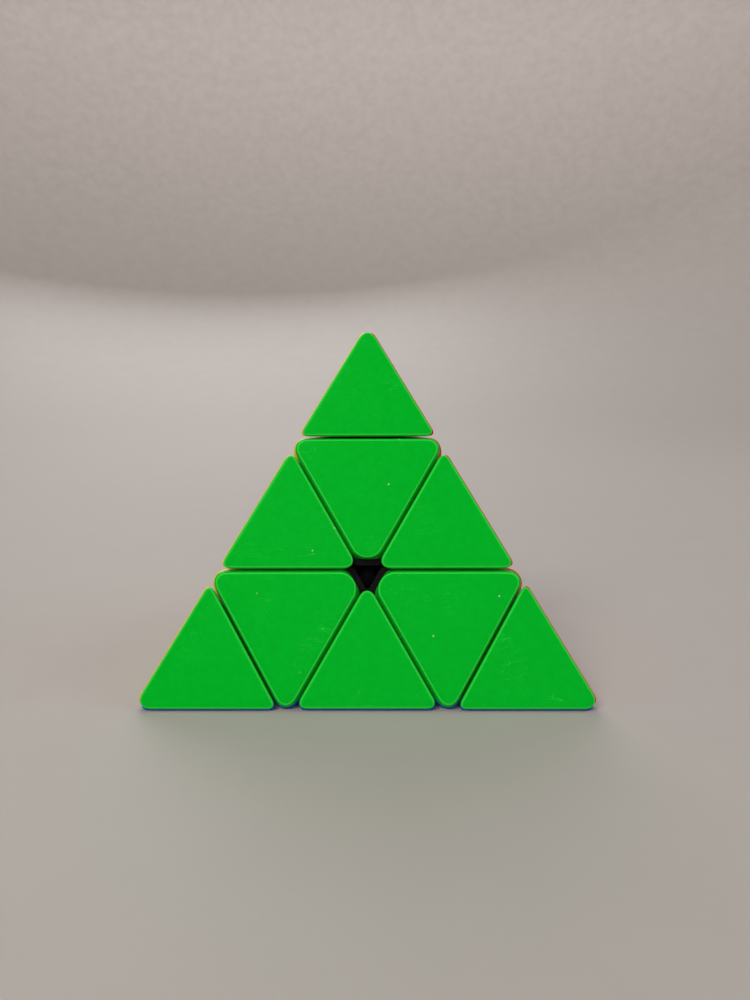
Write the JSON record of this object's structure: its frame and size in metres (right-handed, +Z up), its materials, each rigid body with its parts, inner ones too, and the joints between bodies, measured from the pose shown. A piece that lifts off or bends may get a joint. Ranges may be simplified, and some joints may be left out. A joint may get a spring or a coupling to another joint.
{
  "type": "pyramid twisty puzzle",
  "caption": "Pyramid twisty puzzle with coloured clip-on shells on black pieces, a sprung core, a turning top layer and turning tips.",
  "frame": {"origin": "centre of the core, where the four corner axes meet, which is also the centre of mass", "axes": "+Z up through the top corner, -Y towards the green face, +X towards the corner between the green and red faces"},
  "size_m": [0.0974, 0.0849, 0.0798],
  "materials": {
    "green_plastic": "satin moulded plastic, coloured through",
    "yellow_plastic": "satin moulded plastic, coloured through",
    "red_plastic": "satin moulded plastic, coloured through",
    "blue_plastic": "satin moulded plastic, coloured through",
    "black_plastic": "matt moulded plastic",
    "steel": "bright zinc plate"
  },
  "bodies": {
    "core": {"core": "black_plastic", "core_screws": "steel", "top_spring": "steel", "left_spring": "steel", "right_spring": "steel", "back_spring": "steel", "left_right_edge_body": "black_plastic", "left_right_edge_green_shell": "green_plastic", "left_right_edge_blue_shell": "blue_plastic", "left_back_edge_body": "black_plastic", "left_back_edge_yellow_shell": "yellow_plastic", "left_back_edge_blue_shell": "blue_plastic", "right_back_edge_body": "black_plastic", "right_back_edge_red_shell": "red_plastic", "right_back_edge_blue_shell": "blue_plastic"},
    "top_edges": {"top_left_edge_body": "black_plastic", "top_left_edge_green_shell": "green_plastic", "top_left_edge_yellow_shell": "yellow_plastic", "top_right_edge_body": "black_plastic", "top_right_edge_green_shell": "green_plastic", "top_right_edge_red_shell": "red_plastic", "top_back_edge_body": "black_plastic", "top_back_edge_yellow_shell": "yellow_plastic", "top_back_edge_red_shell": "red_plastic"},
    "top_axial": {"top_axial_body": "black_plastic", "top_axial_green_shell": "green_plastic", "top_axial_yellow_shell": "yellow_plastic", "top_axial_red_shell": "red_plastic", "top_spring_washer": "steel"},
    "top_tip": {"top_tip_body": "black_plastic", "top_tip_green_shell": "green_plastic", "top_tip_yellow_shell": "yellow_plastic", "top_tip_red_shell": "red_plastic"},
    "left_axial": {"left_axial_body": "black_plastic", "left_axial_green_shell": "green_plastic", "left_axial_yellow_shell": "yellow_plastic", "left_axial_blue_shell": "blue_plastic", "left_spring_washer": "steel"},
    "left_tip": {"left_tip_body": "black_plastic", "left_tip_green_shell": "green_plastic", "left_tip_yellow_shell": "yellow_plastic", "left_tip_blue_shell": "blue_plastic"},
    "right_axial": {"right_axial_body": "black_plastic", "right_axial_green_shell": "green_plastic", "right_axial_red_shell": "red_plastic", "right_axial_blue_shell": "blue_plastic", "right_spring_washer": "steel"},
    "right_tip": {"right_tip_body": "black_plastic", "right_tip_green_shell": "green_plastic", "right_tip_red_shell": "red_plastic", "right_tip_blue_shell": "blue_plastic"},
    "back_axial": {"back_axial_body": "black_plastic", "back_axial_yellow_shell": "yellow_plastic", "back_axial_red_shell": "red_plastic", "back_axial_blue_shell": "blue_plastic", "back_spring_washer": "steel"},
    "back_tip": {"back_tip_body": "black_plastic", "back_tip_yellow_shell": "yellow_plastic", "back_tip_red_shell": "red_plastic", "back_tip_blue_shell": "blue_plastic"}
  },
  "joints": [
    {"name": "top_layer_turn", "type": "hinge", "parent": "core", "child": "top_edges", "pos_m": [0, 0, 0], "axis": [0, 0, 1], "continuous": true},
    {"name": "top_axial_lift", "type": "slide", "parent": "top_edges", "child": "top_axial", "axis": [0, 0, 1], "range_m": [0, 0.0008], "stiffness_N_per_m": 600, "springref_m": -0.002, "deforming": ["top_spring"]},
    {"name": "top_tip_turn", "type": "hinge", "parent": "top_axial", "child": "top_tip", "pos_m": [0, 0, 0], "axis": [0, 0, 1], "continuous": true},
    {"name": "left_axial_lift", "type": "slide", "parent": "core", "child": "left_axial", "axis": [-0.8165, -0.4714, -0.3333], "range_m": [0, 0.0008], "stiffness_N_per_m": 600, "springref_m": -0.002, "deforming": ["left_spring"]},
    {"name": "left_tip_turn", "type": "hinge", "parent": "left_axial", "child": "left_tip", "pos_m": [0, 0, 0], "axis": [-0.8165, -0.4714, -0.3333], "continuous": true},
    {"name": "right_axial_lift", "type": "slide", "parent": "core", "child": "right_axial", "axis": [0.8165, -0.4714, -0.3333], "range_m": [0, 0.0008], "stiffness_N_per_m": 600, "springref_m": -0.002, "deforming": ["right_spring"]},
    {"name": "right_tip_turn", "type": "hinge", "parent": "right_axial", "child": "right_tip", "pos_m": [0, 0, 0], "axis": [0.8165, -0.4714, -0.3333], "continuous": true},
    {"name": "back_axial_lift", "type": "slide", "parent": "core", "child": "back_axial", "axis": [0, 0.9428, -0.3333], "range_m": [0, 0.0008], "stiffness_N_per_m": 600, "springref_m": -0.002, "deforming": ["back_spring"]},
    {"name": "back_tip_turn", "type": "hinge", "parent": "back_axial", "child": "back_tip", "pos_m": [0, 0, 0], "axis": [0, 0.9428, -0.3333], "continuous": true}
  ]
}
